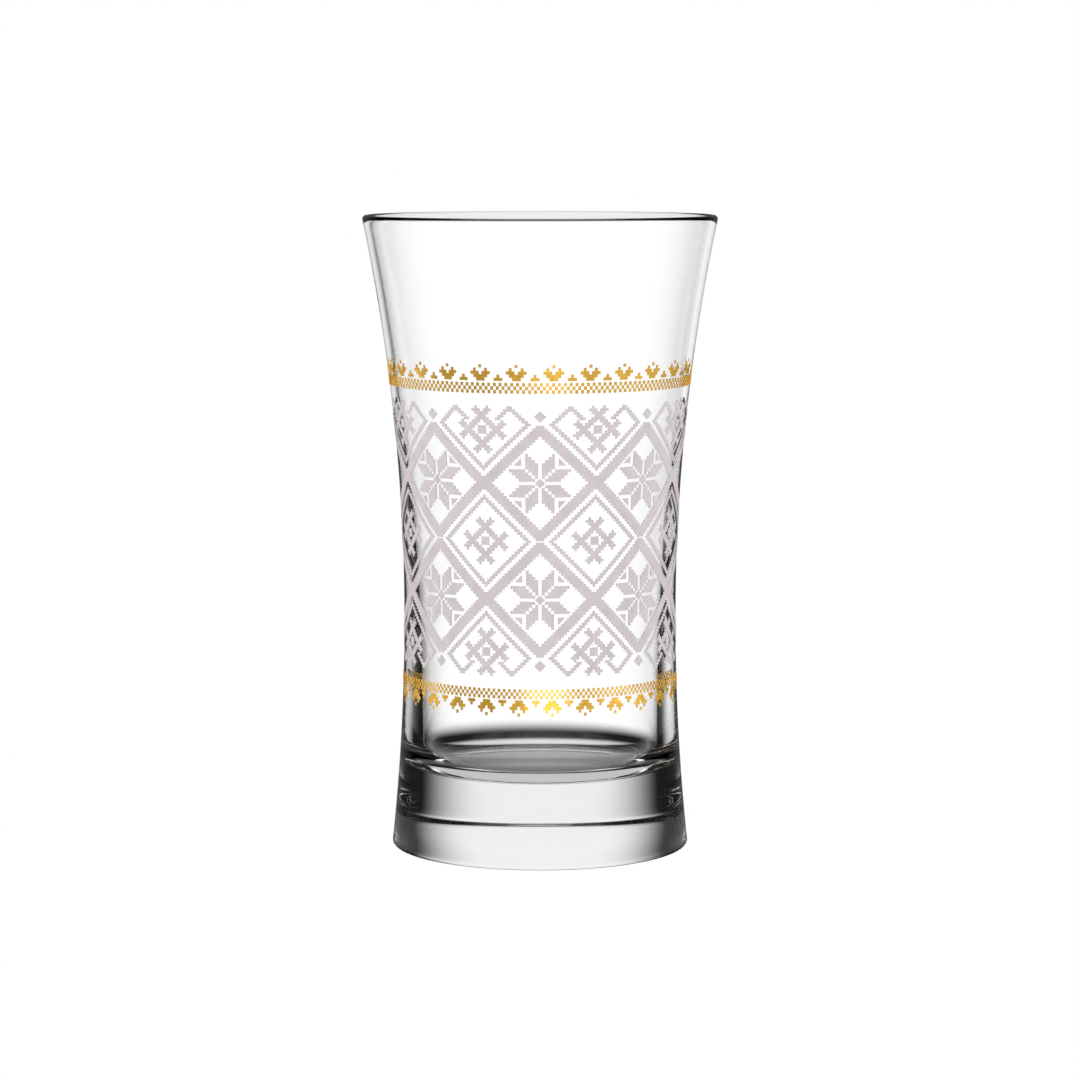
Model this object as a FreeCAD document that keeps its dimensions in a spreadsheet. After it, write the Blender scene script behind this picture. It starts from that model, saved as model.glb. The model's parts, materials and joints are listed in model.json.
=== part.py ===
import FreeCAD, Part

import math
import os

import Sketcher

# Flared shot glass with a thick solid base and a fired-on print over its front half.
# Millimetres. +Z is up, the origin is the middle of the standing ring, and the print faces -Y.

DOC = FreeCAD.newDocument("ShotGlass")

SIZES = [
    # glass, outside
    ("total_height", 80.0),
    ("waist_radius", 17.23),
    ("waist_level", 30.0),
    ("flare_arc", 243.0),
    ("skirt_arc", 273.0),
    ("heel_radius", 0.6),
    ("foot_inner", 15.0),
    ("punt_depth", 0.25),
    # glass, inside
    ("wall_thickness", 0.95),
    ("cavity_radius", 15.05),
    ("cavity_arc", 268.0),
    ("shoulder_level", 18.2),
    ("floor_level", 9.7),
    ("floor_corner", 4.0),
    # print: one film of ink, thin enough to lie on the glass without a step
    ("film_thickness", 0.06),
    ("print_top", 62.6),
    ("print_bottom", 18.9),
    # enamel: a grid of stitches, 39 to a column pitch
    ("column_pitch", 45.0),
    ("stitches_per_column", 39.0),
    ("stitch_height", 0.347),
    ("pattern_middle", 40.6),
    ("row_pitch", 41.5),
    # gold borders: a coarser grid, 12.5 stitches to a blossom pitch
    ("blossom_pitch", 13.6),
    ("stitches_per_blossom", 12.5),
    ("blossom_offset", 5.0),
    ("blossom_height", 2.0),
    ("upper_blossom_foot", 60.34),
    ("upper_checks_foot", 58.81),
    ("upper_checks_height", 1.32),
    ("lower_checks_foot", 21.14),
    ("lower_checks_height", 1.21),
    ("lower_blossom_foot", 20.99),
]

# The print ends this many degrees to each side of the front
PRINT_EDGE = 90

# Fixed counts of the ornament, in stitches
LATTICE_OUTER = 21
LATTICE_INNER = 16.5
LATTICE_APEX = 20
LATTICE_APEX_HALF = 1.5
THIN_OUTER = 16
THIN_INNER = 14
HOOK_TOP = 6.5
HOOK_RETURN = 4
CROSS_RING_OUTER = 6.5
CROSS_RING_INNER = 3.5
CROSS_CENTRE = 1.5
CROSS_EAR_ACROSS = 2
CROSS_EAR_OUT = 7
CROSS_EAR_HALF = 1.8
CROSS_SHIFT = 39.6
STAR_STITCH = 1.11
STAR_LENGTH = 10
STAR_GAP_HALF = 0.5
STAR_PETAL_WIDTH = 4.5
LOZENGE_HALF = 2.1
LOZENGE_SHIFT = 44.3
STENCIL_DEPTH = 3.0

# soda-lime glass, in grams to a cubic millimetre
GLASS_DENSITY = 0.0025
MM3_PER_ML = 1000


def make_sheet():
    """The spreadsheet of driving dimensions, one alias to a row."""
    sheet = DOC.addObject("Spreadsheet::Sheet", "Sizes")
    for row, (alias, value) in enumerate(SIZES, start=1):
        sheet.set(f"A{row}", alias)
        sheet.set(f"B{row}", str(value))
        sheet.setAlias(f"B{row}", alias)
    DOC.recompute()
    return sheet


SHEET = make_sheet()


def size(alias):
    return float(getattr(SHEET, alias))


def new_sketch(body, name):
    """An empty sketch on the body's XZ plane: sketch x is the radius and sketch y the height."""
    sketch = body.newObject("Sketcher::SketchObject", name)
    plane = next(item for item in body.Origin.OriginFeatures if item.Role == "XZ_Plane")
    sketch.AttachmentSupport = [(plane, "")]
    sketch.MapMode = "FlatFace"
    return sketch


def dimension(sketch, kind, where, value, name, expression):
    """Adds one dimension to a sketch and binds it to the sheet."""
    index = sketch.addConstraint(Sketcher.Constraint(kind, *where, value))
    sketch.renameConstraint(index, name)
    sketch.setExpression(f"Constraints.{name}", expression)


def arc(centre, radius, start, end):
    """A counter-clockwise arc between two points on a circle."""
    circle = Part.Circle(FreeCAD.Vector(*centre, 0), FreeCAD.Vector(0, 0, 1), radius)
    first = math.atan2(start[1] - centre[1], start[0] - centre[0])
    last = math.atan2(end[1] - centre[1], end[0] - centre[0])
    return Part.ArcOfCircle(circle, first, last)


def line(start, end):
    return Part.LineSegment(FreeCAD.Vector(*start, 0), FreeCAD.Vector(*end, 0))


def outside_radius(level):
    """The glass's outer radius at a height."""
    bend = size("flare_arc") if level > size("waist_level") else size("skirt_arc")
    rise = level - size("waist_level")
    return size("waist_radius") + bend - math.sqrt(bend * bend - rise * rise)


def glass_points():
    """Where the profile's arcs and lines meet, worked out from the sheet."""
    waist = (size("waist_radius"), size("waist_level"))
    flare, skirt, wall = size("flare_arc"), size("skirt_arc"), size("wall_thickness")
    centres = {
        "flare": (waist[0] + flare, waist[1]),
        "skirt": (waist[0] + skirt, waist[1]),
        "cavity": (size("cavity_radius") + size("cavity_arc"), size("shoulder_level")),
    }
    points = {"waist": waist}

    # heel: a small circle touching the ground and the skirt arc from inside the glass
    heel = size("heel_radius")
    drop = waist[1] - heel
    heel_x = centres["skirt"][0] - math.sqrt((skirt + heel) ** 2 - drop**2)
    centres["heel"] = (heel_x, heel)
    points["foot_outer"] = (heel_x, 0.0)
    along = skirt / (skirt + heel)
    points["skirt_foot"] = (
        centres["skirt"][0] + (heel_x - centres["skirt"][0]) * along,
        waist[1] - drop * along,
    )

    # lip: half a circle, as wide as the wall
    lip_level = size("total_height") - wall / 2
    middle = flare + wall / 2
    lip_x = centres["flare"][0] - math.sqrt(middle**2 - (lip_level - waist[1]) ** 2)
    centres["lip"] = (lip_x, lip_level)
    towards = (
        (centres["flare"][0] - lip_x) / middle,
        (waist[1] - lip_level) / middle,
    )
    points["lip_out"] = (lip_x + towards[0] * wall / 2, lip_level + towards[1] * wall / 2)
    points["lip_in"] = (lip_x - towards[0] * wall / 2, lip_level - towards[1] * wall / 2)

    # inside: the straight run that touches the wall's inner arc and the cavity arc
    inner = flare + wall
    cavity = size("cavity_arc")
    across = centres["flare"][0] - centres["cavity"][0]
    rise = centres["flare"][1] - centres["cavity"][1]
    tilt = math.asin((inner - cavity) / math.hypot(across, rise))
    heading = math.atan2(rise, across) + tilt
    normal = (-math.sin(heading), math.cos(heading))
    points["run_top"] = (
        centres["flare"][0] + normal[0] * inner,
        centres["flare"][1] + normal[1] * inner,
    )
    points["run_foot"] = (
        centres["cavity"][0] + normal[0] * cavity,
        centres["cavity"][1] + normal[1] * cavity,
    )
    corner = size("floor_corner")
    points["shoulder"] = (size("cavity_radius"), size("shoulder_level"))
    points["corner_top"] = (size("cavity_radius"), size("floor_level") + corner)
    points["corner_foot"] = (size("cavity_radius") - corner, size("floor_level"))
    centres["corner"] = (size("cavity_radius") - corner, size("floor_level") + corner)

    # punt: a shallow hollow under the base
    depth, foot = size("punt_depth"), size("foot_inner")
    punt = (foot**2 + depth**2) / (2 * depth)
    centres["punt"] = (0.0, depth - punt)
    points["punt_top"] = (0.0, depth)
    points["foot_inner"] = (foot, 0.0)
    points["floor_middle"] = (0.0, size("floor_level"))
    return points, centres, punt


def glass_body():
    """The glass, in one piece, turned about its axis."""
    points, centres, punt = glass_points()
    body = DOC.addObject("PartDesign::Body", "glass_body")
    sketch = new_sketch(body, "glass_profile")
    wall = size("wall_thickness")
    edges = [
        arc(centres["punt"], punt, points["foot_inner"], points["punt_top"]),
        line(points["foot_inner"], points["foot_outer"]),
        arc(centres["heel"], size("heel_radius"), points["foot_outer"], points["skirt_foot"]),
        arc(centres["skirt"], size("skirt_arc"), points["waist"], points["skirt_foot"]),
        arc(centres["flare"], size("flare_arc"), points["lip_out"], points["waist"]),
        arc(centres["lip"], wall / 2, points["lip_out"], points["lip_in"]),
        arc(centres["flare"], size("flare_arc") + wall, points["lip_in"], points["run_top"]),
        line(points["run_top"], points["run_foot"]),
        arc(centres["cavity"], size("cavity_arc"), points["run_foot"], points["shoulder"]),
        line(points["shoulder"], points["corner_top"]),
        arc(centres["corner"], size("floor_corner"), points["corner_foot"], points["corner_top"]),
        line(points["corner_foot"], points["floor_middle"]),
        line(points["floor_middle"], points["punt_top"]),
    ]
    sketch.addGeometry(edges, False)
    punt_e, foot_e, heel_e, skirt_e, flare_e, lip_e, inner_e, run_e, cavity_e = range(9)
    side_e, corner_e, floor_e, axis_e = range(9, 13)
    start, end, centre = 1, 2, 3
    tangent_joints = [
        (foot_e, end, heel_e, start),
        (heel_e, end, skirt_e, end),
        (skirt_e, start, flare_e, end),
        (flare_e, start, lip_e, start),
        (lip_e, end, inner_e, start),
        (inner_e, end, run_e, start),
        (run_e, end, cavity_e, start),
        (cavity_e, end, side_e, start),
        (side_e, end, corner_e, end),
        (corner_e, start, floor_e, start),
    ]
    for joint in tangent_joints:
        sketch.addConstraint(Sketcher.Constraint("Tangent", *joint))
    plain_joints = [
        (punt_e, start, foot_e, start),
        (floor_e, end, axis_e, start),
        (axis_e, end, punt_e, end),
        (flare_e, centre, inner_e, centre),
    ]
    for joint in plain_joints:
        sketch.addConstraint(Sketcher.Constraint("Coincident", *joint))
    for geometry, point in ((axis_e, start), (axis_e, end), (punt_e, centre)):
        sketch.addConstraint(Sketcher.Constraint("PointOnObject", geometry, point, -2))
    sketch.addConstraint(Sketcher.Constraint("PointOnObject", foot_e, start, -1))
    sketch.addConstraint(Sketcher.Constraint("Horizontal", foot_e))
    sketch.addConstraint(Sketcher.Constraint("Vertical", side_e))

    origin = (-1, 1)
    upright = [
        ("waist_level", flare_e, centre, "Sizes.waist_level"),
        ("waist_touch", flare_e, end, "Sizes.waist_level"),
        ("lip_level", lip_e, centre, "Sizes.total_height - Sizes.wall_thickness / 2"),
        ("floor_level", floor_e, end, "Sizes.floor_level"),
        ("shoulder_level", side_e, start, "Sizes.shoulder_level"),
        ("punt_depth", punt_e, end, "Sizes.punt_depth"),
    ]
    heights = {
        "waist_level": size("waist_level"),
        "waist_touch": size("waist_level"),
        "lip_level": size("total_height") - wall / 2,
        "floor_level": size("floor_level"),
        "shoulder_level": size("shoulder_level"),
        "punt_depth": size("punt_depth"),
    }
    for name, geometry, point, expression in upright:
        where = (*origin, geometry, point)
        dimension(sketch, "DistanceY", where, heights[name], name, expression)
    across = [
        ("waist_radius", flare_e, end),
        ("cavity_radius", side_e, start),
        ("foot_inner", foot_e, start),
    ]
    for name, geometry, point in across:
        where = (*origin, geometry, point)
        dimension(sketch, "DistanceX", where, size(name), name, f"Sizes.{name}")
    radii = [
        ("flare_arc", flare_e),
        ("skirt_arc", skirt_e),
        ("heel_radius", heel_e),
        ("cavity_arc", cavity_e),
        ("floor_corner", corner_e),
    ]
    for name, geometry in radii:
        dimension(sketch, "Radius", (geometry,), size(name), name, f"Sizes.{name}")
    turned = body.newObject("PartDesign::Revolution", "glass_turned")
    turned.Profile = sketch
    turned.ReferenceAxis = (sketch, ["V_Axis"])
    turned.Angle = 360
    body.Label = "glass_body"
    DOC.recompute()
    return body, sketch


def film_shell():
    """The layer that all the ink lies in: a half turn of film over the printed zone."""
    body = DOC.addObject("PartDesign::Body", "film_shell")
    sketch = new_sketch(body, "film_profile")
    film = size("film_thickness")
    waist = (size("waist_radius"), size("waist_level"))
    top, bottom = size("print_top"), size("print_bottom")

    def on_arc(bend, level, lift):
        rise = level - waist[1]
        return (waist[0] + bend - math.sqrt((bend - lift) ** 2 - rise**2), level)

    flare, skirt = size("flare_arc"), size("skirt_arc")
    flare_centre = (waist[0] + flare, waist[1])
    skirt_centre = (waist[0] + skirt, waist[1])
    lifted = (waist[0] + film, waist[1])
    inner_top, outer_top = on_arc(flare, top, 0), on_arc(flare, top, film)
    inner_foot, outer_foot = on_arc(skirt, bottom, 0), on_arc(skirt, bottom, film)
    sketch.addGeometry(
        [
            arc(flare_centre, flare, inner_top, waist),
            arc(skirt_centre, skirt, waist, inner_foot),
            line(inner_foot, outer_foot),
            arc(skirt_centre, skirt - film, lifted, outer_foot),
            arc(flare_centre, flare - film, outer_top, lifted),
            line(outer_top, inner_top),
        ],
        False,
    )
    inner_flare, inner_skirt, foot_cap, outer_skirt, outer_flare, top_cap = range(6)
    start, end, centre = 1, 2, 3
    joints = [
        (inner_flare, end, inner_skirt, start),
        (inner_skirt, end, foot_cap, start),
        (foot_cap, end, outer_skirt, end),
        (outer_skirt, start, outer_flare, end),
        (outer_flare, start, top_cap, start),
        (top_cap, end, inner_flare, start),
        (inner_flare, centre, outer_flare, centre),
        (inner_skirt, centre, outer_skirt, centre),
    ]
    for joint in joints:
        sketch.addConstraint(Sketcher.Constraint("Coincident", *joint))
    for cap in (foot_cap, top_cap):
        sketch.addConstraint(Sketcher.Constraint("Horizontal", cap))
    origin = (-1, 1)
    waist_level = "Sizes.waist_level"
    upright = [
        ("flare_centre", inner_flare, centre, waist[1], waist_level),
        ("skirt_centre", inner_skirt, centre, waist[1], waist_level),
        ("inner_waist", inner_flare, end, waist[1], waist_level),
        ("outer_waist", outer_flare, end, waist[1], waist_level),
        ("print_top", top_cap, end, top, "Sizes.print_top"),
        ("print_bottom", foot_cap, start, bottom, "Sizes.print_bottom"),
    ]
    for name, geometry, point, value, expression in upright:
        dimension(sketch, "DistanceY", (*origin, geometry, point), value, name, expression)
    where = (*origin, inner_flare, end)
    dimension(sketch, "DistanceX", where, waist[0], "waist_radius", "Sizes.waist_radius")
    radii = [
        ("flare_arc", inner_flare, flare, "Sizes.flare_arc"),
        ("skirt_arc", inner_skirt, skirt, "Sizes.skirt_arc"),
        ("film_face", outer_flare, flare - film, "Sizes.flare_arc - Sizes.film_thickness"),
    ]
    for name, geometry, value, expression in radii:
        dimension(sketch, "Radius", (geometry,), value, name, expression)
    turned = body.newObject("PartDesign::Revolution", "film_turned")
    turned.Profile = sketch
    turned.ReferenceAxis = (sketch, ["V_Axis"])
    turned.Angle = 180
    turned.Reversed = True
    DOC.recompute()
    front = body.Shape.BoundBox
    if front.YMax > abs(front.YMin):
        turned.Reversed = False
        DOC.recompute()
    return body


def stencil(outline, level, angle, stitch_angle, stitch_height):
    """A prism through the film: an outline in stitches, centred at a height and a turn about Z."""
    radius = outside_radius(level)
    corners = []
    for across, up in outline:
        turn = math.radians(across * stitch_angle)
        corners.append(FreeCAD.Vector(radius * math.sin(turn), 0, level + up * stitch_height))
    face = Part.Face(Part.makePolygon(corners + corners[:1]))
    reach = max(abs(corner.x) for corner in corners)
    near = math.sqrt(radius * radius - reach * reach) - STENCIL_DEPTH
    prism = face.extrude(FreeCAD.Vector(0, -(radius + STENCIL_DEPTH - near), 0))
    prism.translate(FreeCAD.Vector(0, -near, 0))
    prism.rotate(FreeCAD.Vector(0, 0, 0), FreeCAD.Vector(0, 0, 1), angle)
    return prism


def diamond(half, across=0, up=0):
    """A square on its corner."""
    return [(across + half, up), (across, up + half), (across - half, up), (across, up - half)]


def mirrored(outline, flip_across, flip_up):
    return [(across * flip_across, up * flip_up) for across, up in outline]


ENAMEL_ANGLE = size("column_pitch") / size("stitches_per_column")
ENAMEL_HEIGHT = size("stitch_height")
GOLD_ANGLE = size("blossom_pitch") / size("stitches_per_blossom")
STAR_COLUMNS = [index * size("column_pitch") for index in range(-2, 3)]
CROSS_COLUMNS = [(index + 0.5) * size("column_pitch") for index in range(-2, 2)]
MIDDLE = size("pattern_middle")
ROW = size("row_pitch") * ENAMEL_HEIGHT


def enamel(outline, level, angle):
    return stencil(outline, level, angle, ENAMEL_ANGLE, ENAMEL_HEIGHT)


def lattice_stencils():
    """Broad diamonds round the stars, flat at top and bottom, which meet side to side."""
    apex, half = LATTICE_APEX, LATTICE_APEX_HALF
    outer = [(LATTICE_OUTER, 0), (half, apex), (-half, apex)]
    outer += [(-LATTICE_OUTER, 0), (-half, -apex), (half, -apex)]
    rings = []
    for angle in STAR_COLUMNS:
        for level in (MIDDLE + ROW / 2, MIDDLE - ROW / 2):
            hole = enamel(diamond(LATTICE_INNER), level, angle)
            rings.append(enamel(outer, level, angle).cut(hole))
    return [rings[0].multiFuse(rings[1:])]


def hook_outline():
    """Half of an open diamond: the V below, the corner, and the arm that folds back in."""
    top = HOOK_TOP
    fold = THIN_OUTER - top
    back = fold - HOOK_RETURN
    wide = THIN_OUTER - THIN_INNER
    right = [
        (0, -THIN_OUTER),
        (THIN_OUTER, 0),
        (fold, top),
        (back, top - HOOK_RETURN),
        (back + wide / 2, top - HOOK_RETURN - wide / 2),
        (fold, top - wide),
        (THIN_INNER, 0),
        (0, -THIN_INNER),
    ]
    left = [(-across, up) for across, up in reversed(right[1:-1])]
    return right + left


def thin_diamond_stencils():
    """Narrow diamonds round the middle crosses, and open hooked ones round the others."""
    cuts = []
    for angle in CROSS_COLUMNS:
        hole = enamel(diamond(THIN_INNER), MIDDLE, angle)
        cuts.append(enamel(diamond(THIN_OUTER), MIDDLE, angle).cut(hole))
        for side in (1, -1):
            outline = mirrored(hook_outline(), 1, side)
            cuts.append(enamel(outline, MIDDLE + side * ROW, angle))
    return cuts


def cross_stencils():
    """Crosses: a middle stitch block, a ring round it, and eight ears."""
    cuts = []
    shift = CROSS_SHIFT * ENAMEL_HEIGHT
    half = CROSS_CENTRE
    block = [(half, half), (-half, half), (-half, -half), (half, -half)]
    for angle in CROSS_COLUMNS:
        for level in (MIDDLE, MIDDLE + shift, MIDDLE - shift):
            ring = enamel(diamond(CROSS_RING_OUTER), level, angle)
            cuts.append(ring.cut(enamel(diamond(CROSS_RING_INNER), level, angle)))
            cuts.append(enamel(block, level, angle))
            for flip_across in (1, -1):
                for flip_up in (1, -1):
                    for across, up in (
                        (CROSS_EAR_ACROSS, CROSS_EAR_OUT),
                        (CROSS_EAR_OUT, CROSS_EAR_ACROSS),
                    ):
                        ear = diamond(CROSS_EAR_HALF, across * flip_across, up * flip_up)
                        cuts.append(enamel(ear, level, angle))
    return cuts


def star_stencils():
    """Eight-petalled stars: each petal is a slanted block beside the middle row or column."""
    scale = STAR_STITCH
    inner, outer = STAR_GAP_HALF * scale, STAR_PETAL_WIDTH * scale
    tip = STAR_LENGTH * scale
    petal = [
        (inner, inner + scale),
        (outer, outer + scale),
        (outer, tip),
        (inner, tip - outer + inner),
    ]
    cuts = []
    for angle in STAR_COLUMNS[1:-1]:
        for level in (MIDDLE + ROW / 2, MIDDLE - ROW / 2):
            for flip_across in (1, -1):
                for flip_up in (1, -1):
                    turned = [(up, across) for across, up in petal]
                    for outline in (petal, turned):
                        shape = mirrored(outline, flip_across, flip_up)
                        cuts.append(enamel(shape, level, angle))
    return cuts


def lozenge_stencils():
    """Small lozenges above and below the star columns."""
    shift = LOZENGE_SHIFT * ENAMEL_HEIGHT
    levels = (MIDDLE + shift, MIDDLE - shift)
    outline = diamond(LOZENGE_HALF)
    return [enamel(outline, level, angle) for angle in STAR_COLUMNS[1:-1] for level in levels]


def border_stencils(outline, half_step, level, flip, rows):
    """A run of one gold motif round the front, standing up or hanging down."""
    pitch = size("blossom_pitch")
    row_height = size("blossom_height") / rows
    cuts = []
    steps = int(PRINT_EDGE // pitch) + 1
    for index in range(-steps, steps + 1):
        angle = size("blossom_offset") + (index + half_step) * pitch
        half_width = max(across for across, up in outline) * GOLD_ANGLE
        if abs(angle) + half_width > PRINT_EDGE:
            continue
        shape = mirrored(outline, 1, flip)
        cuts.append(stencil(shape, level, angle, GOLD_ANGLE, row_height))
    return cuts


BLOSSOM_ROWS = 5
# right half of a blossom, from its foot up: the cup, the side petal and the middle bud
BLOSSOM_RIGHT = [(1.5, 0), (3.5, 2), (2.5, 4), (1.5, 3), (0.5, 5)]
BLOSSOM = BLOSSOM_RIGHT + [(-across, up) for across, up in reversed(BLOSSOM_RIGHT)]
# a low hill of one stitch over three
TREFOIL = [(1.5, 0), (1.5, 1), (0.5, 2), (-0.5, 2), (-1.5, 1), (-1.5, 0)]


def checks_stencil(foot, height):
    """A plain ring for a border's band of checks."""
    block = DOC.addObject("Part::Box", "checks_block")
    block.setExpression("Height", f"Sizes.{height}")
    block.setExpression("Placement.Base.z", f"Sizes.{foot}")
    block.setExpression("Length", "4 * Sizes.waist_radius")
    block.setExpression("Width", "2 * Sizes.waist_radius")
    block.setExpression("Placement.Base.x", "-2 * Sizes.waist_radius")
    block.setExpression("Placement.Base.y", "-2 * Sizes.waist_radius")
    return block


def printed(name, shell, tool):
    """One colour and motif of the print: the film wherever its stencil lets the ink through."""
    film = DOC.addObject("Part::Common", name)
    film.Base = shell
    film.Tool = tool
    film.Label = name
    return film


def stencil_object(name, prisms):
    holder = DOC.addObject("Part::Feature", name + "_stencil")
    holder.Shape = Part.makeCompound(prisms)
    holder.Placement = FreeCAD.Placement()
    return holder


def print_layers(shell):
    """Every layer of the print, by name."""
    upper, lower = size("upper_blossom_foot"), size("lower_blossom_foot")
    stencils = {
        "upper_gold_blossoms": border_stencils(BLOSSOM, 0, upper, 1, BLOSSOM_ROWS),
        "upper_gold_trefoils": border_stencils(TREFOIL, 0.5, upper, 1, BLOSSOM_ROWS),
        "lower_gold_blossoms": border_stencils(BLOSSOM, 0, lower, -1, BLOSSOM_ROWS),
        "lower_gold_trefoils": border_stencils(TREFOIL, 0.5, lower, -1, BLOSSOM_ROWS),
        "enamel_lattice": lattice_stencils(),
        "enamel_diamonds": thin_diamond_stencils(),
        "enamel_crosses": cross_stencils(),
        "enamel_stars": star_stencils(),
        "enamel_lozenges": lozenge_stencils(),
    }
    layers = [printed(name, shell, stencil_object(name, cuts)) for name, cuts in stencils.items()]
    for name, foot, height in (
        ("upper_gold_checks", "upper_checks_foot", "upper_checks_height"),
        ("lower_gold_checks", "lower_checks_foot", "lower_checks_height"),
    ):
        layers.append(printed(name, shell, checks_stencil(foot, height)))
    return layers


def check_and_write(subparts, sketches):
    """Stops on any failed object, then writes one STEP file to a sub-part."""
    for item in DOC.Objects:
        if {"Invalid", "Error"} & set(item.State):
            raise RuntimeError(f"{item.Name} failed: {item.State}")
    for sketch in sketches:
        if sketch.solve() != 0:
            raise RuntimeError(f"{sketch.Name} is not solved")
    for subpart in subparts:
        if subpart.Shape.isNull() or not subpart.Shape.isValid():
            raise RuntimeError(f"{subpart.Label} has no valid shape")
    os.makedirs("parts", exist_ok=True)
    for subpart in subparts:
        subpart.Shape.exportStep(os.path.join("parts", subpart.Label + ".step"))
        shape = subpart.Shape
        print(subpart.Label, "solids", len(shape.Solids), "volume", round(shape.Volume, 3))


def brim_capacity(glass):
    """Millilitres to the brim: a plug of the cavity, less the glass."""
    plug = Part.makeCylinder(
        2 * size("waist_radius"),
        size("total_height") - size("floor_level"),
        FreeCAD.Vector(0, 0, size("floor_level")),
    )
    inside = min(plug.cut(glass.Shape).Solids, key=lambda piece: piece.Volume)
    return inside.Volume / MM3_PER_ML


glass, glass_profile = glass_body()
shell = film_shell()
layers = print_layers(shell)
DOC.recompute()
check_and_write([glass, *layers], [glass_profile])
box = glass.Shape.optimalBoundingBox()
print("height", round(box.ZLength, 3), "rim", round(box.XLength, 3), "foot", round(box.ZMin, 4))
print("base", round(2 * outside_radius(size("heel_radius")), 2))
print("brim capacity, ml:", round(brim_capacity(glass), 1))
print("glass, g:", round(glass.Shape.Volume * GLASS_DENSITY, 1))
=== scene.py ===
import json
import math

import bpy
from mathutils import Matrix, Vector

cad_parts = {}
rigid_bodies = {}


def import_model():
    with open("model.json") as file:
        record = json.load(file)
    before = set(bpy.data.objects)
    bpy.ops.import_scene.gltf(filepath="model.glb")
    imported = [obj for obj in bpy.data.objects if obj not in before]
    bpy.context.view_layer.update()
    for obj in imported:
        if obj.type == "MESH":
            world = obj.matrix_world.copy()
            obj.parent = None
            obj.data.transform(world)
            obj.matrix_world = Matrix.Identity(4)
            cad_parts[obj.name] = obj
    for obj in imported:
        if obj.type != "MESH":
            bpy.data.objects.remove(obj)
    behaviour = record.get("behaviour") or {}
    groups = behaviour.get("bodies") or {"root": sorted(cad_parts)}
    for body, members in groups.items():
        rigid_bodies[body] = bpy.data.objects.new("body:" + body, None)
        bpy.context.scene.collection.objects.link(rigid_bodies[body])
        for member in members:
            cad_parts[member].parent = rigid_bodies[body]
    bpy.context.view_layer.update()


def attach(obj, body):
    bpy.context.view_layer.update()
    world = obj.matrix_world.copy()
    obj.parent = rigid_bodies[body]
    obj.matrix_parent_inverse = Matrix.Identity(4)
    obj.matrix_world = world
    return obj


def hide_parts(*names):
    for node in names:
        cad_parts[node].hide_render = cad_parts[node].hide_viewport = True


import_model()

MM = 0.001

# ---- the glass's profile, in millimetres, the same arcs as the solid model's ----
HEIGHT = 80.0
WAIST_RADIUS = 17.23
WAIST_LEVEL = 30.0
FLARE_ARC = 243.0
SKIRT_ARC = 273.0
HEEL_RADIUS = 0.6
FOOT_INNER = 15.0
PUNT_DEPTH = 0.25
WALL = 0.95
CAVITY_RADIUS = 15.05
CAVITY_ARC = 268.0
SHOULDER_LEVEL = 18.2
FLOOR_LEVEL = 9.7
FLOOR_CORNER = 4.0
LATHE_STEPS = 288

# ---- the print: film and heights in millimetres, turns round the glass in degrees ----
INK_OUTSIDE = 0.05
INK_INSIDE = -0.02
PRINT_EDGE = 90.0
MIDDLE = 40.6
COLUMN_PITCH = 45.0
STITCHES_ACROSS = 39
STITCH_ANGLE = COLUMN_PITCH / STITCHES_ACROSS
STITCH_HEIGHT = 0.347
ROW_PITCH = 41.5 * STITCH_HEIGHT
CROSS_SHIFT = 39.6 * STITCH_HEIGHT
LOZENGE_SHIFT = 44.3 * STITCH_HEIGHT
STAR_COLUMNS = [index * COLUMN_PITCH for index in (-2, -1, 0, 1, 2)]
CROSS_COLUMNS = [(index + 0.5) * COLUMN_PITCH for index in (-2, -1, 0, 1)]
BLOSSOM_PITCH = 13.6
BLOSSOM_OFFSET = 5.0
BLOSSOM_HEIGHT = 2.0
BLOSSOM_ROWS = 5
GOLD_ANGLE = BLOSSOM_PITCH / 12.5
CHECK_ROWS = 3
UPPER_BLOSSOM_FOOT = 60.34
UPPER_CHECKS = (58.81, 1.32)
LOWER_CHECKS = (21.14, 1.21)
LOWER_BLOSSOM_FOOT = 20.99

# ---- motifs, in stitches from their own middle ----
LATTICE_BAND = (17, 21)
DIAMOND_BAND = (15, 16)
CROSS_BAND = (4, 6)
LOZENGE_REACH = 2.1
STAR_SCALE = 1.11
STAR_HEART_REACH = 1.6
STAR_TIP_CORNER = 5.65
STAR_TIP_LEG = 2.5

# ---- the set, in metres and degrees, as seen in the photo ----
CAMERA_DISTANCE = 0.464
CAMERA_HEIGHT = 0.0905
CAMERA_PITCH = 6.346
CAMERA_LENS_MM = 122.67
FLOOR_HALF = 6.0
FLOOR_DROP = 0.00005
SHADE_RADIUS = 0.0175
SHADE_DROP = 0.00003
SHADE_STEPS = 96
LAMP_AIM = (0, 0, HEIGHT / 2 * MM)
# the light level all round the white card
DARK = 0.012
# surfaces of the glass met by light off its outside, through its base, and through both walls
MET_OUTSIDE, MET_BASE, MET_WALLS = 1.0, 2.0, 4.0


# ---- profile ----

def outside_radius(level):
    """The glass's outer radius at a height, in millimetres."""
    bend = FLARE_ARC if level > WAIST_LEVEL else SKIRT_ARC
    rise = level - WAIST_LEVEL
    return WAIST_RADIUS + bend - math.sqrt(bend * bend - rise * rise)


def arc_points(centre, start, end, steps):
    """Points along the short arc from start to end about a centre, without the last."""
    radius = math.dist(centre, start)
    first = math.atan2(start[1] - centre[1], start[0] - centre[0])
    turn = math.atan2(end[1] - centre[1], end[0] - centre[0]) - first
    turn = (turn + math.pi) % (2 * math.pi) - math.pi
    points = []
    for step in range(steps):
        angle = first + turn * step / steps
        points.append(
            (centre[0] + radius * math.cos(angle), centre[1] + radius * math.sin(angle))
        )
    return points


def line_points(start, end, steps):
    """Points along a straight run, without the last."""
    return [
        (start[0] + (end[0] - start[0]) * i / steps, start[1] + (end[1] - start[1]) * i / steps)
        for i in range(steps)
    ]


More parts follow.
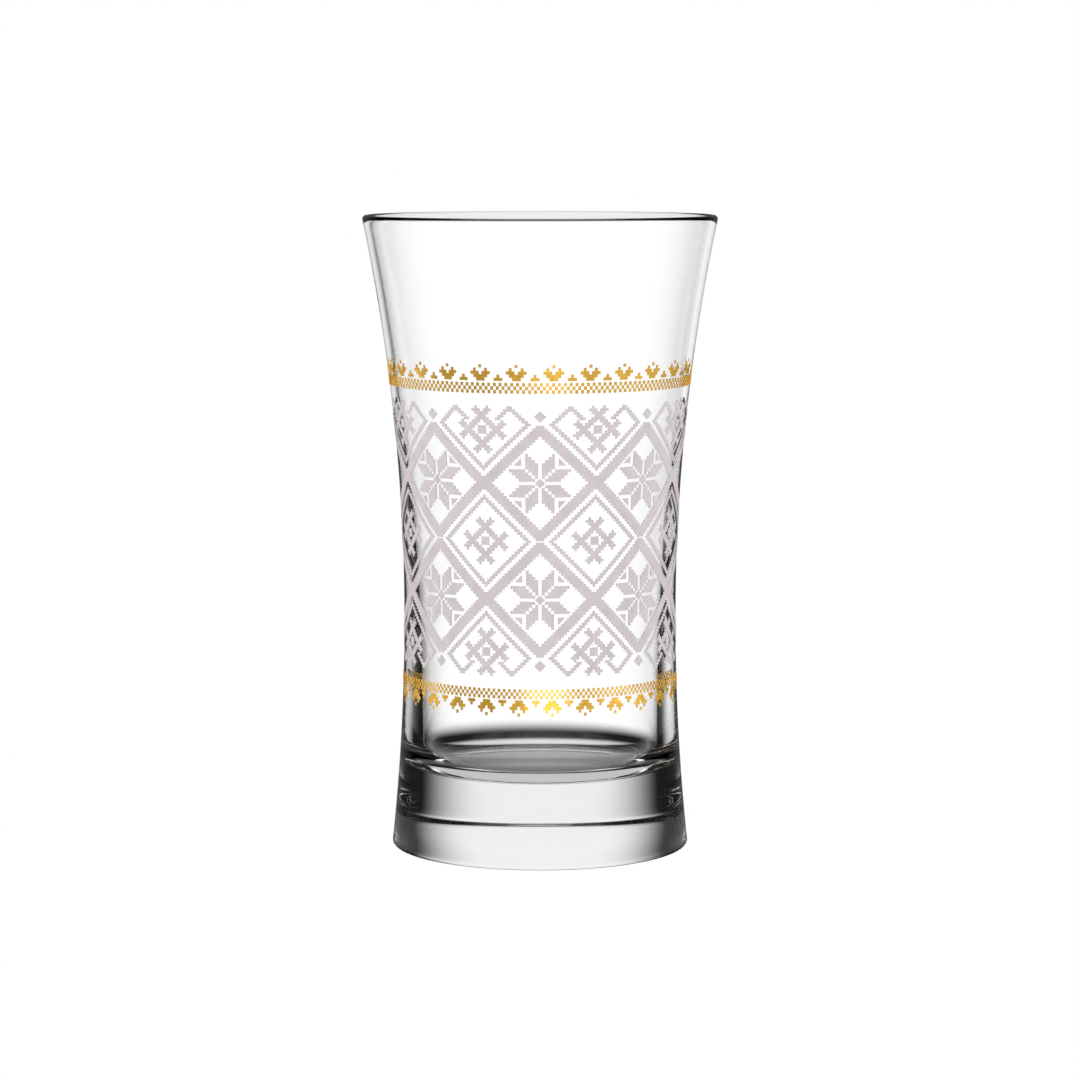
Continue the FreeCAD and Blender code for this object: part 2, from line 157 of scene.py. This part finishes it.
def glass_profile():
    """The closed outline from the middle of the punt, out and over the lip, to the floor's middle."""
    waist = (WAIST_RADIUS, WAIST_LEVEL)
    flare_c = (WAIST_RADIUS + FLARE_ARC, WAIST_LEVEL)
    skirt_c = (WAIST_RADIUS + SKIRT_ARC, WAIST_LEVEL)
    cavity_c = (CAVITY_RADIUS + CAVITY_ARC, SHOULDER_LEVEL)

    punt_radius = (FOOT_INNER**2 + PUNT_DEPTH**2) / (2 * PUNT_DEPTH)
    punt_c = (0.0, PUNT_DEPTH - punt_radius)
    punt_top, foot_inner = (0.0, PUNT_DEPTH), (FOOT_INNER, 0.0)

    drop = WAIST_LEVEL - HEEL_RADIUS
    heel_x = skirt_c[0] - math.sqrt((SKIRT_ARC + HEEL_RADIUS) ** 2 - drop**2)
    share = SKIRT_ARC / (SKIRT_ARC + HEEL_RADIUS)
    foot_outer = (heel_x, 0.0)
    skirt_foot = (skirt_c[0] + (heel_x - skirt_c[0]) * share, WAIST_LEVEL - drop * share)

    lip_level = HEIGHT - WALL / 2
    middle = FLARE_ARC + WALL / 2
    lip_x = flare_c[0] - math.sqrt(middle**2 - (lip_level - WAIST_LEVEL) ** 2)
    towards = ((flare_c[0] - lip_x) / middle, (WAIST_LEVEL - lip_level) / middle)
    lip_out = (lip_x + towards[0] * WALL / 2, lip_level + towards[1] * WALL / 2)
    lip_in = (lip_x - towards[0] * WALL / 2, lip_level - towards[1] * WALL / 2)
    lip_top = (lip_x - towards[1] * WALL / 2, lip_level + towards[0] * WALL / 2)

    inner = FLARE_ARC + WALL
    across, rise = flare_c[0] - cavity_c[0], flare_c[1] - cavity_c[1]
    tilt = math.asin((inner - CAVITY_ARC) / math.hypot(across, rise))
    heading = math.atan2(rise, across) + tilt
    normal = (-math.sin(heading), math.cos(heading))
    run_top = (flare_c[0] + normal[0] * inner, flare_c[1] + normal[1] * inner)
    run_foot = (cavity_c[0] + normal[0] * CAVITY_ARC, cavity_c[1] + normal[1] * CAVITY_ARC)
    shoulder = (CAVITY_RADIUS, SHOULDER_LEVEL)
    corner_c = (CAVITY_RADIUS - FLOOR_CORNER, FLOOR_LEVEL + FLOOR_CORNER)
    corner_top = (CAVITY_RADIUS, FLOOR_LEVEL + FLOOR_CORNER)
    corner_foot = (CAVITY_RADIUS - FLOOR_CORNER, FLOOR_LEVEL)

    points = arc_points(punt_c, punt_top, foot_inner, 14)
    points += line_points(foot_inner, foot_outer, 5)
    points += arc_points((heel_x, HEEL_RADIUS), foot_outer, skirt_foot, 10)
    points += arc_points(skirt_c, skirt_foot, waist, 36)
    points += arc_points(flare_c, waist, lip_out, 60)
    points += arc_points((lip_x, lip_level), lip_out, lip_top, 8)
    points += arc_points((lip_x, lip_level), lip_top, lip_in, 8)
    points += arc_points(flare_c, lip_in, run_top, 30)
    points += line_points(run_top, run_foot, 10)
    points += arc_points(cavity_c, run_foot, shoulder, 36)
    points += line_points(shoulder, corner_top, 5)
    points += arc_points(corner_c, corner_top, corner_foot, 18)
    points += line_points(corner_foot, (0.0, FLOOR_LEVEL), 8)
    points.append((0.0, FLOOR_LEVEL))
    return points


# ---- mesh helpers ----

def new_piece(name, verts, faces, smooth):
    """A mesh object from points in metres."""
    mesh = bpy.data.meshes.new(name)
    mesh.from_pydata(verts, [], faces)
    mesh.validate()
    mesh.polygons.foreach_set("use_smooth", [smooth] * len(mesh.polygons))
    mesh.update()
    piece = bpy.data.objects.new(name, mesh)
    bpy.context.scene.collection.objects.link(piece)
    return piece


def lathe(name, profile, steps):
    """Turns an outline in millimetres, which starts and ends on the axis, into a closed skin."""
    verts = [(0.0, 0.0, profile[0][1] * MM)]
    for radius, level in profile[1:-1]:
        for step in range(steps):
            angle = 2 * math.pi * step / steps
            verts.append(
                (radius * math.cos(angle) * MM, radius * math.sin(angle) * MM, level * MM)
            )
    verts.append((0.0, 0.0, profile[-1][1] * MM))
    last = len(verts) - 1
    rings = len(profile) - 2
    faces = []
    for step in range(steps):
        after = (step + 1) % steps
        faces.append((0, 1 + after, 1 + step))
        for ring in range(rings - 1):
            low, high = 1 + ring * steps, 1 + (ring + 1) * steps
            faces.append((low + step, low + after, high + after, high + step))
        top = 1 + (rings - 1) * steps
        faces.append((top + step, top + after, last))
    return new_piece(name, verts, faces, True)


class Ink:
    """Collects patches of ink on the outside of the glass and makes them one closed-skin piece."""

    def __init__(self):
        self.verts = []
        self.faces = []
        self.known = {}

    def corner(self, angle, level, lift):
        """A vertex at an angle from the front, in degrees, at a height, off the glass by lift."""
        key = (round(angle, 4), round(level, 4), lift)
        if key not in self.known:
            radius = (outside_radius(level) + lift) * MM
            turn = math.radians(angle)
            self.known[key] = len(self.verts)
            self.verts.append((radius * math.sin(turn), -radius * math.cos(turn), level * MM))
        return self.known[key]

    def patch(self, outline, sides):
        """A slab of ink: front and back faces, and a wall on each listed side of the outline."""
        front = [self.corner(angle, level, INK_OUTSIDE) for angle, level in outline]
        back = [self.corner(angle, level, INK_INSIDE) for angle, level in outline]
        self.faces.append(front)
        self.faces.append(back[::-1])
        count = len(outline)
        for side in sides:
            after = (side + 1) % count
            self.faces.append([front[side], back[side], back[after], front[after]])

    def stitches(self, cells, angle, level, cell_angle, cell_height):
        """Square stitches on a grid whose cell (0, 0) is centred at an angle and a height."""
        neighbours = ((0, -1), (1, 0), (0, 1), (-1, 0))
        shown = {cell for cell in cells if abs(angle + cell[0] * cell_angle) < PRINT_EDGE}
        for column, row in sorted(shown):
            left = angle + (column - 0.5) * cell_angle
            right = angle + (column + 0.5) * cell_angle
            foot = level + (row - 0.5) * cell_height
            head = level + (row + 0.5) * cell_height
            outline = [(left, foot), (right, foot), (right, head), (left, head)]
            sides = [
                side
                for side, (across, up) in enumerate(neighbours)
                if (column + across, row + up) not in shown
            ]
            self.patch(outline, sides)

    def shape(self, outline, angle, level, cell_angle, cell_height):
        """A smooth-edged patch, as triangles round its middle so that it follows the glass."""
        count = len(outline)
        middle = (
            sum(across for across, up in outline) / count,
            sum(up for across, up in outline) / count,
        )
        place = [
            (angle + across * cell_angle, level + up * cell_height)
            for across, up in [*outline, middle]
        ]
        for index in range(count):
            after = (index + 1) % count
            self.patch([place[index], place[after], place[count]], [0])

    def piece(self, name):
        """The ink collected so far, as one flat-shaded object."""
        return new_piece(name, self.verts, self.faces, False)


# ---- motifs, as sets of grid cells or as outlines ----

def band(inner, outer):
    """Cells whose steps from the middle, across plus up, lie between two counts."""
    reach = range(-outer, outer + 1)
    return {(i, j) for i in reach for j in reach if inner <= abs(i) + abs(j) <= outer}


def all_mirrors(cells):
    """The cells with their mirror images, left for right and top for bottom."""
    return {(i * si, j * sj) for i, j in cells for si in (1, -1) for sj in (1, -1)}


def lattice_cells():
    """One row of broad diamonds, flat at top and bottom, merged where neighbours meet."""
    flat_top = LATTICE_BAND[1] - 1
    diamond = {(i, j) for i, j in band(*LATTICE_BAND) if abs(j) <= flat_top}
    columns = len(STAR_COLUMNS) // 2
    return {
        (i + STITCHES_ACROSS * k, j) for i, j in diamond for k in range(-columns, columns + 1)
    }


def hooked_cells():
    """The open diamond at the top: a V, its corners, and arms that fold back at the edge."""
    open_row, arm_column, arm_steps = 6, 9, 4
    cells = {(i, j) for i, j in band(*DIAMOND_BAND) if j <= open_row}
    for step in range(1, arm_steps + 1):
        for width in (0, 1):
            cells |= {(s * (arm_column - step + width), open_row - step) for s in (1, -1)}
    return cells


def cross_cells():
    """A block of nine in a diamond ring, with an ear on either side of each point."""
    cells = {(i, j) for i in (-1, 0, 1) for j in (-1, 0, 1)} | band(*CROSS_BAND)
    ear = {(2, 7), (1, 7), (3, 7), (2, 6), (2, 8)}
    ears = ear | {(j, i) for i, j in ear} | {(1, 6), (6, 1)}
    return cells | all_mirrors(ears)


def star_cells():
    """Eight slanted petals, two in each quarter."""
    petal = {(i, j) for i in range(1, 5) for j in range(i + 1, i + 6)}
    return all_mirrors(petal | {(j, i) for i, j in petal})


def picture_cells(rows):
    """Cells from a small picture of a motif, foot at row 0 and centred across."""
    half = len(rows[0]) // 2
    return {
        (column - half, len(rows) - 1 - down)
        for down, row in enumerate(rows)
        for column, mark in enumerate(row)
        if mark == "X"
    }


def lozenge(reach):
    """The outline of a small diamond."""
    return [(reach, 0), (0, reach), (-reach, 0), (0, -reach)]


BLOSSOM = picture_cells(["...X...", ".X...X.", "XXX.XXX", ".XXXXX.", "..XXX.."])
TREFOIL = picture_cells([".X.", "XXX"])


# ---- pieces of the print ----

def lattice_ink():
    """Two rows of broad diamonds, joined along each row."""
    ink = Ink()
    for level in (MIDDLE + ROW_PITCH / 2, MIDDLE - ROW_PITCH / 2):
        ink.stitches(lattice_cells(), 0.0, level, STITCH_ANGLE, STITCH_HEIGHT)
    return ink.piece("ink_lattice")


def diamonds_ink():
    """Thin diamonds round the crosses: whole in the middle row, open above and below."""
    ink = Ink()
    for angle in CROSS_COLUMNS:
        ink.stitches(band(*DIAMOND_BAND), angle, MIDDLE, STITCH_ANGLE, STITCH_HEIGHT)
        for side in (1, -1):
            cells = {(i, j * side) for i, j in hooked_cells()}
            ink.stitches(cells, angle, MIDDLE + side * ROW_PITCH, STITCH_ANGLE, STITCH_HEIGHT)
    return ink.piece("ink_diamonds")


def crosses_ink():
    """Three rows of crosses."""
    ink = Ink()
    for angle in CROSS_COLUMNS:
        for level in (MIDDLE, MIDDLE + CROSS_SHIFT, MIDDLE - CROSS_SHIFT):
            ink.stitches(cross_cells(), angle, level, STITCH_ANGLE, STITCH_HEIGHT)
    return ink.piece("ink_crosses")


def star_tip(si, sj):
    """The small triangle at one corner of a star, with its corners in the same turning order."""
    corner, end = STAR_TIP_CORNER, STAR_TIP_CORNER + STAR_TIP_LEG
    outline = [(si * corner, sj * corner), (si * end, sj * corner), (si * corner, sj * end)]
    if si * sj < 0:
        outline.reverse()
    return outline


def stars_ink():
    """Two rows of stars, each with a small diamond at its heart and a triangle at each corner."""
    ink = Ink()
    cell_angle, cell_height = STAR_SCALE * STITCH_ANGLE, STAR_SCALE * STITCH_HEIGHT
    for angle in STAR_COLUMNS[1:-1]:
        for level in (MIDDLE + ROW_PITCH / 2, MIDDLE - ROW_PITCH / 2):
            ink.stitches(star_cells(), angle, level, cell_angle, cell_height)
            ink.shape(lozenge(STAR_HEART_REACH), angle, level, cell_angle, cell_height)
            for si in (1, -1):
                for sj in (1, -1):
                    ink.shape(star_tip(si, sj), angle, level, cell_angle, cell_height)
    return ink.piece("ink_stars")


def lozenges_ink():
    """The single small diamonds above and below the stars."""
    ink = Ink()
    for angle in STAR_COLUMNS[1:-1]:
        for level in (MIDDLE + LOZENGE_SHIFT, MIDDLE - LOZENGE_SHIFT):
            ink.shape(lozenge(LOZENGE_REACH), angle, level, STITCH_ANGLE, STITCH_HEIGHT)
    return ink.piece("ink_lozenges")


def border_ink(name, cells, half_step, foot, flip):
    """A row of one gold motif round the front, standing on a line or hanging from it."""
    ink = Ink()
    row = BLOSSOM_HEIGHT / BLOSSOM_ROWS
    steps = int(PRINT_EDGE // BLOSSOM_PITCH) + 1
    half_width = (max(i for i, j in cells) + 0.5) * GOLD_ANGLE
    placed = {(i, j * flip) for i, j in cells}
    for index in range(-steps, steps + 1):
        angle = BLOSSOM_OFFSET + (index + half_step) * BLOSSOM_PITCH
        if abs(angle) + half_width <= PRINT_EDGE:
            ink.stitches(placed, angle, foot + flip * row / 2, GOLD_ANGLE, row)
    return ink.piece(name)


def checks_ink(name, foot, height):
    """A chequered strip of gold squares."""
    ink = Ink()
    count = int(PRINT_EDGE / GOLD_ANGLE)
    row = height / CHECK_ROWS
    cells = {
        (i, j) for i in range(-count, count) for j in range(CHECK_ROWS) if (i + j) % 2 == 0
    }
    ink.stitches(cells, GOLD_ANGLE / 2, foot + row / 2, GOLD_ANGLE, row)
    return ink.piece(name)


# ---- shader nodes ----

class Graph:
    """Adds nodes to one node tree. A value is a number or another node's output."""

    def __init__(self, tree):
        self.nodes, self.links = tree.nodes, tree.links

    def math(self, kind, *values):
        """One sum on up to three values."""
        node = self.nodes.new("ShaderNodeMath")
        node.operation = kind
        for socket, value in zip(node.inputs, values):
            if isinstance(value, (int, float)):
                socket.default_value = value
            else:
                self.links.new(value, socket)
        return node.outputs["Value"]

    def joined(self, kind, values):
        """Applies one operation along a list, such as the sum or the largest of all."""
        result = values[0]
        for value in values[1:]:
            result = self.math(kind, result, value)
        return result

    def mapped(self, kind, value, start, end, first, last):
        """Takes the range from start to end onto first to last, and holds it beyond."""
        node = self.nodes.new("ShaderNodeMapRange")
        node.interpolation_type = kind
        node.inputs["From Min"].default_value = start
        node.inputs["From Max"].default_value = end
        node.inputs["To Min"].default_value = first
        node.inputs["To Max"].default_value = last
        self.links.new(value, node.inputs["Value"])
        return node.outputs["Result"]

    def falloff(self, value, full, none, low, high):
        """A smooth step from high, at the value full, to low, at the value none."""
        return self.mapped("SMOOTHSTEP", value, full, none, high, low)

    def noise(self, scale, detail):
        """Soft noise fixed to the piece."""
        coords = self.nodes.new("ShaderNodeTexCoord")
        texture = self.nodes.new("ShaderNodeTexNoise")
        texture.inputs["Scale"].default_value = scale
        texture.inputs["Detail"].default_value = detail
        self.links.new(coords.outputs["Object"], texture.inputs["Vector"])
        return texture.outputs["Fac"]

    def spread(self, noise, low, high):
        """Takes a noise's middle range to two values."""
        return self.mapped("LINEAR", noise, 0.3, 0.7, low, high)

    def blend(self, share, first, second):
        """The first output, or the second where the share is 1."""
        node = self.nodes.new("ShaderNodeMix")
        for socket, value in (("Factor", share), ("A", first), ("B", second)):
            self.links.new(value, node.inputs[socket])
        return node.outputs["Result"]


# ---- materials ----

def new_material(name):
    """A material, the graph that adds its nodes, and its shader."""
    material = bpy.data.materials.new(name)
    material.use_nodes = True
    graph = Graph(material.node_tree)
    return material, graph, graph.nodes["Principled BSDF"]


def glass_material():
    """Clear soda-lime glass: fire-polished, with a very faint ripple."""
    material, graph, shader = new_material("clear_glass")
    shader.inputs["Base Color"].default_value = (0.99, 0.993, 0.992, 1)
    shader.inputs["Transmission Weight"].default_value = 1.0
    shader.inputs["IOR"].default_value = 1.515
    smudge = graph.spread(graph.noise(160, 4), 0.0, 0.02)
    graph.links.new(smudge, shader.inputs["Roughness"])
    ripple = graph.nodes.new("ShaderNodeBump")
    ripple.inputs["Strength"].default_value = 0.25
    ripple.inputs["Distance"].default_value = 0.00006
    graph.links.new(graph.noise(110, 1), ripple.inputs["Height"])
    graph.links.new(ripple.outputs["Normal"], shader.inputs["Normal"])
    return material


def ink_material(name, metallic, colours, colour_noise, roughness, roughness_noise):
    """Fired ink, whose colour and roughness each wander between two values."""
    material, graph, shader = new_material(name)
    shader.inputs["Metallic"].default_value = metallic
    tint = graph.nodes.new("ShaderNodeMix")
    tint.data_type = "RGBA"
    tint.inputs["A"].default_value = (*colours[0], 1)
    tint.inputs["B"].default_value = (*colours[1], 1)
    graph.links.new(graph.spread(graph.noise(*colour_noise), 0, 1), tint.inputs["Factor"])
    graph.links.new(tint.outputs["Result"], shader.inputs["Base Color"])
    rough = graph.spread(graph.noise(*roughness_noise), *roughness)
    graph.links.new(rough, shader.inputs["Roughness"])
    return material


def finish_piece(piece, material, node):
    """Gives a piece its material, hides the CAD node that it stands for, and ties it to the body that
    it rides.
    """
    piece.data.materials.append(material)
    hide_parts(node)
    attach(piece, "root")


# ---- build the object ----

glass = glass_material()
gold = ink_material(
    "gold_print",
    metallic=0.62,
    colours=((0.82, 0.45, 0.045), (0.97, 0.58, 0.10)),
    colour_noise=(420, 3),
    roughness=(0.25, 0.35),
    roughness_noise=(900, 4),
)
enamel = ink_material(
    "enamel_print",
    metallic=0.0,
    colours=((0.60, 0.535, 0.555), (0.67, 0.605, 0.625)),
    colour_noise=(500, 4),
    roughness=(0.42, 0.6),
    roughness_noise=(1200, 3),
)

finish_piece(lathe("blown_glass", glass_profile(), LATHE_STEPS), glass, "glass_body")
finish_piece(lattice_ink(), enamel, "enamel_lattice")
finish_piece(diamonds_ink(), enamel, "enamel_diamonds")
finish_piece(crosses_ink(), enamel, "enamel_crosses")
finish_piece(stars_ink(), enamel, "enamel_stars")
finish_piece(lozenges_ink(), enamel, "enamel_lozenges")
for place, foot, flip, checks in (
    ("upper", UPPER_BLOSSOM_FOOT, 1, UPPER_CHECKS),
    ("lower", LOWER_BLOSSOM_FOOT, -1, LOWER_CHECKS),
):
    blossoms = border_ink(f"gilt_{place}_blossoms", BLOSSOM, 0, foot, flip)
    finish_piece(blossoms, gold, f"{place}_gold_blossoms")
    trefoils = border_ink(f"gilt_{place}_trefoils", TREFOIL, 0.5, foot, flip)
    finish_piece(trefoils, gold, f"{place}_gold_trefoils")
    squares = checks_ink(f"gilt_{place}_checks", *checks)
    finish_piece(squares, gold, f"{place}_gold_checks")


# ---- studio ----

def pieces_called(start):
    """A collection of the pieces whose names start so, for a lamp to light alone."""
    group = bpy.data.collections.new(start)
    for item in bpy.context.scene.objects:
        if item.name.startswith(start):
            group.objects.link(item)
    return group


def camera():
    """In front, a little above the rim, looking slightly down."""
    data = bpy.data.cameras.new("camera")
    data.sensor_width = 36
    data.lens = CAMERA_LENS_MM
    data.clip_start, data.clip_end = 0.01, 20
    item = bpy.data.objects.new("camera", data)
    item.location = (0.0, -CAMERA_DISTANCE, CAMERA_HEIGHT)
    item.rotation_euler = (math.pi / 2 - math.radians(CAMERA_PITCH), 0, 0)
    bpy.context.scene.collection.objects.link(item)
    bpy.context.scene.camera = item


def glowing(name, strength, behind_wall=None):
    """An even brightness, or another one where it's seen through the wall and the base too."""
    material = bpy.data.materials.new(name)
    material.use_nodes = True
    graph = Graph(material.node_tree)
    graph.nodes.clear()
    glow = graph.nodes.new("ShaderNodeEmission")
    glow.inputs["Strength"].default_value = strength
    # the second level serves the painted shadow under the glass: dimmer where seen through the wall
    # and the base
    if behind_wall is not None:
        crossed = graph.nodes.new("ShaderNodeLightPath").outputs["Ray Depth"]
        level = graph.falloff(crossed, 3, 4, behind_wall, strength)
        graph.links.new(level, glow.inputs["Strength"])
    out = graph.nodes.new("ShaderNodeOutputMaterial")
    graph.links.new(glow.outputs["Emission"], out.inputs["Surface"])
    return material


def floor():
    """A plain white table top that runs out of sight."""
    half = FLOOR_HALF
    verts = [(-half, -half, 0), (half, -half, 0), (half, half, 0), (-half, half, 0)]
    item = new_piece("floor", verts, [(0, 1, 2, 3)], False)
    item.location.z = -FLOOR_DROP
    item.data.materials.append(glowing("floor_white", 1.0))
    item.visible_transmission = False
    item.visible_glossy = False


def shade():
    """A painted shadow: a glowing disc for the shaded table top right under the glass, seen only
    through the glass.
    """
    turns = [2 * math.pi * step / SHADE_STEPS for step in range(SHADE_STEPS)]
    verts = [(SHADE_RADIUS * math.cos(turn), SHADE_RADIUS * math.sin(turn), 0) for turn in turns]
    item = new_piece("shade", verts, [tuple(range(SHADE_STEPS))], False)
    item.location.z = -SHADE_DROP
    # painted shadow: glows at 0.6 straight down the mouth and at 0.10 where seen through the wall and
    # the base
    item.data.materials.append(glowing("shade_grey", 0.6, 0.10))
    item.visible_camera = False
    item.visible_glossy = False


def card(graph, direction, turn, lift, full, none, bright):
    """A round white card behind the glass, turned right and lifted in degrees, soft at the edge."""
    turn, lift = math.radians(turn), math.radians(lift)
    aim = (math.sin(turn) * math.cos(lift), math.cos(turn) * math.cos(lift), math.sin(lift))
    along = graph.joined(
        "ADD", [graph.math("MULTIPLY", v, share) for v, share in zip(direction, aim)]
    )
    off_axis = graph.math("MULTIPLY", graph.math("ARCCOSINE", along), 180 / math.pi)
    return graph.falloff(off_axis, full, none, DARK, bright)


def backdrop(graph, direction, met):
    """The card straight behind, or a brighter one to the right for light down through the walls."""
    straight = card(graph, direction, 0, 0, 20, 50, 0.94)
    shifted = card(graph, direction, 5, 8, 24, 44, 1.25)
    not_upward = graph.math("LESS_THAN", direction[2], 0.08)
    crossed = graph.math("GREATER_THAN", met, 2.5)
    walls = graph.math("MULTIPLY", not_upward, crossed)
    return graph.blend(walls, straight, shifted)


def room_through_walls(graph, degrees, z, met):
    """The room beside and in front, and the table, for light that crossed the hollow part."""
    beside = graph.falloff(degrees, 62, 44, 0.0, 0.8)
    dimmer_in_front = graph.falloff(degrees, 115, 95, 1.0, 0.6)
    not_upward = graph.falloff(z, 0.02, 0.14, 0.0, 1.0)
    room = graph.joined("MULTIPLY", [beside, dimmer_in_front, not_upward])
    downward = graph.falloff(z, -0.32, -0.20, 0.0, 0.85)
    off_axis = graph.falloff(degrees, 42, 32, 0.0, 1.0)
    table = graph.math("MULTIPLY", downward, off_axis)
    from_above = graph.falloff(z, -0.82, -0.68, 0.0, 0.9)
    level = graph.joined("MAXIMUM", [room, table, from_above])
    return graph.math("MULTIPLY", level, graph.math("COMPARE", met, MET_WALLS, 0.5))


def room_through_base(graph, degrees, z, met):
    """The front of the room and the table, for light that crossed the solid base."""
    in_front = graph.falloff(degrees, 100, 82, 0.0, 0.6)
    table = graph.falloff(z, -0.48, -0.38, 0.0, 0.9)
    level = graph.math("MAXIMUM", in_front, table)
    return graph.math("MULTIPLY", level, graph.math("COMPARE", met, MET_BASE, 0.5))


def ceiling_up_the_hollow(graph, z, met):
    """Light from above that comes down through the mouth and the cavity floor."""
    steep = graph.falloff(z, 0.80, 0.60, 0.0, 0.95)
    return graph.math("MULTIPLY", steep, graph.math("COMPARE", met, MET_WALLS, 1.1))


def studio_light():
    """A white card behind the glass with dark round it, which gives clear glass its dark edges.

    How bright a direction is depends on how many surfaces of the glass the light has met too, so
    that the hollow part, the solid base and what the outside mirrors are lit apart. The camera
    itself sees plain white.
    """
    world = bpy.data.worlds.new("studio")
    bpy.context.scene.world = world
    world.use_nodes = True
    graph = Graph(world.node_tree)
    graph.nodes.clear()
    coords = graph.nodes.new("ShaderNodeTexCoord")
    split = graph.nodes.new("ShaderNodeSeparateXYZ")
    graph.links.new(coords.outputs["Generated"], split.inputs["Vector"])
    x, y, z = split.outputs["X"], split.outputs["Y"], split.outputs["Z"]
    azimuth = graph.math("ARCTAN2", graph.math("ABSOLUTE", x), y)
    degrees = graph.math("MULTIPLY", azimuth, 180 / math.pi)
    path = graph.nodes.new("ShaderNodeLightPath")
    # in the world, Ray Depth is one more than the surfaces met
    met = graph.math("SUBTRACT", path.outputs["Ray Depth"], 1.0)

    straight_down = graph.falloff(z, -0.97, -0.85, 0.0, 0.3)
    level = graph.joined(
        "MAXIMUM",
        [
            backdrop(graph, (x, y, z), met),
            room_through_walls(graph, degrees, z, met),
            room_through_base(graph, degrees, z, met),
            straight_down,
            ceiling_up_the_hollow(graph, z, met),
        ],
    )
    mirrored = graph.math("COMPARE", met, MET_OUTSIDE, 0.5)
    level = graph.blend(mirrored, level, graph.math("MULTIPLY", level, 0.12))
    seen = graph.math("MAXIMUM", level, path.outputs["Is Camera Ray"])
    background = graph.nodes.new("ShaderNodeBackground")
    background.inputs["Color"].default_value = (1, 1, 1, 1)
    graph.links.new(seen, background.inputs["Strength"])
    out = graph.nodes.new("ShaderNodeOutputWorld")
    graph.links.new(background.outputs["Background"], out.inputs["Surface"])


def softbox(name, place, width, depth, power, lit):
    """A soft lamp that lights one ink alone, so that the clear glass doesn't mirror it."""
    data = bpy.data.lights.new(name, "AREA")
    data.shape = "RECTANGLE"
    data.size = width
    data.size_y = depth
    data.energy = power
    item = bpy.data.objects.new(name, data)
    item.location = place
    item.rotation_euler = (Vector(LAMP_AIM) - Vector(place)).to_track_quat("-Z", "Y").to_euler()
    item.visible_glossy = lit is gilded
    item.visible_transmission = False
    item.visible_camera = False
    item.light_linking.receiver_collection = lit
    bpy.context.scene.collection.objects.link(item)


def look():
    """Plain display colours, and enough bounces for light to cross every wall of the glass."""
    scene = bpy.context.scene
    scene.view_settings.view_transform = "Standard"
    scene.view_settings.look = "None"
    scene.cycles.max_bounces = 32
    scene.cycles.transmission_bounces = 24
    scene.cycles.glossy_bounces = 16
    scene.cycles.use_denoising = True


enamelled = pieces_called("ink_")
gilded = pieces_called("gilt_")
camera()
floor()
shade()
studio_light()
# each lamp's name, place, width, depth, watts, and the ink that it lights
for lamp in (
    ("left_fill", (-0.8, -0.46, 0.35), 0.5, 0.5, 6.2, enamelled),
    ("right_fill", (0.8, -0.46, 0.35), 0.5, 0.5, 6.2, enamelled),
    ("front_softbox", (0.12, -0.75, 0.40), 0.12, 0.5, 6.0, gilded),
    ("front_strip", (0.03, -0.35, 0.012), 0.2, 0.02, 0.12, gilded),
    ("right_softbox", (0.91, -0.24, 0.25), 0.9, 0.4, 5.5, gilded),
    ("left_softbox", (-0.9, 0.33, 0.25), 0.8, 0.4, 9.0, gilded),
):
    softbox(*lamp)
look()
